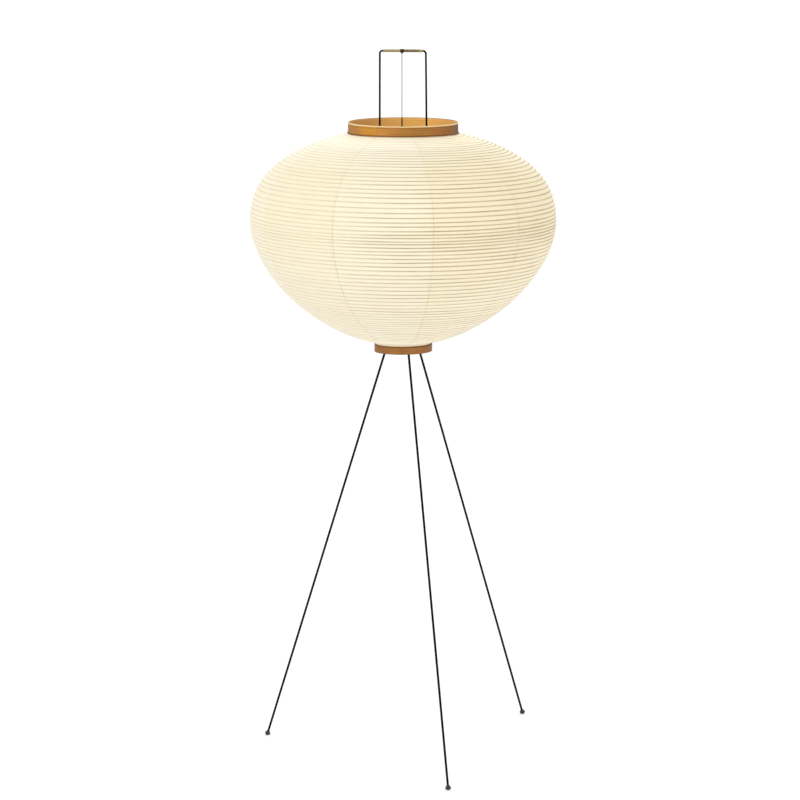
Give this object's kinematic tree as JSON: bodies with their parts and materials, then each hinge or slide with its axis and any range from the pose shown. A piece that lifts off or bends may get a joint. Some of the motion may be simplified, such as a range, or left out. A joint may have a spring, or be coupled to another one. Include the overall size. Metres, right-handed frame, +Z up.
{
  "type": "paper lantern floor lamp",
  "caption": "Floor lamp with a wide ribbed paper lantern between two bentwood collars, a wire bail with a cane-wrapped bar on top, on slender wire legs that plug into a hub.",
  "frame": {"origin": "on the floor, on the lantern's upright axis", "axes": "+Z up along the lantern's axis; the front of the lamp looks along -Y; the handle bar lies along X"},
  "size_m": [0.5313, 0.537, 1.2387],
  "materials": {
    "leg_wire": "satin",
    "foot_tip": "matte",
    "frame_wire": "satin",
    "hub_steel": "satin",
    "zinc_steel": "zinc plated",
    "brass": "satin",
    "black_plastic": "semi-gloss",
    "top_hoop_wood": "clear satin",
    "bottom_hoop_wood": "clear satin",
    "cane": "natural",
    "lashing_thread": "waxed thread",
    "paper": "handmade, matte",
    "bamboo": "split, natural",
    "core_ceramic": "matte",
    "bulb_glass": "frosted",
    "bulb_shell": "bright",
    "bulb_black": "glossy"
  },
  "bodies": {
    "stand": {"hub": "hub_steel", "hub_setscrews": "zinc_steel", "nipple": "brass", "lock_nuts": "zinc_steel", "spider_washers": "zinc_steel", "cord_bushing": "black_plastic", "bottom_spider": "hub_steel", "spider_tacks": "brass", "bottom_collar": "bottom_hoop_wood", "bail": "frame_wire", "cane_grip": "cane", "bar_lashing": "lashing_thread", "paper_skin": "paper", "rib_spiral": "bamboo", "holder_cap": "black_plastic", "holder_shell": "black_plastic", "holder_core": "core_ceramic", "screw_shell": "brass", "contact_tongue": "brass", "terminal_screws": "brass"},
    "leg_left": {"leg_left": "leg_wire", "foot_left": "foot_tip"},
    "leg_front": {"leg_front": "leg_wire", "foot_front": "foot_tip"},
    "leg_right": {"leg_right": "leg_wire", "foot_right": "foot_tip"},
    "lantern_top": {"top_collar": "top_hoop_wood", "top_crosswire": "frame_wire", "hanger_wire": "frame_wire"},
    "bulb": {"bulb_glass": "bulb_glass", "bulb_base": "bulb_shell", "bulb_insulator": "bulb_black", "bulb_contact": "zinc_steel"}
  },
  "joints": [
    {"name": "lantern_collapse", "type": "slide", "parent": "stand", "child": "lantern_top", "axis": [0, 0, 1], "range_m": [-0.17, 0], "deforming": ["paper_skin", "rib_spiral"]},
    {"name": "leg_left_pull", "type": "slide", "parent": "stand", "child": "leg_left", "axis": [-0.2893, 0.07, -0.9547], "range_m": [0, 0.025]},
    {"name": "leg_front_pull", "type": "slide", "parent": "stand", "child": "leg_front", "axis": [0.0892, -0.3111, -0.9462], "range_m": [0, 0.025]},
    {"name": "leg_right_pull", "type": "slide", "parent": "stand", "child": "leg_right", "axis": [0.256, 0.2273, -0.9396], "range_m": [0, 0.025]},
    {"name": "bulb_lift", "type": "slide", "parent": "stand", "child": "bulb", "axis": [0, 0, 1], "range_m": [0, 0.026]}
  ]
}
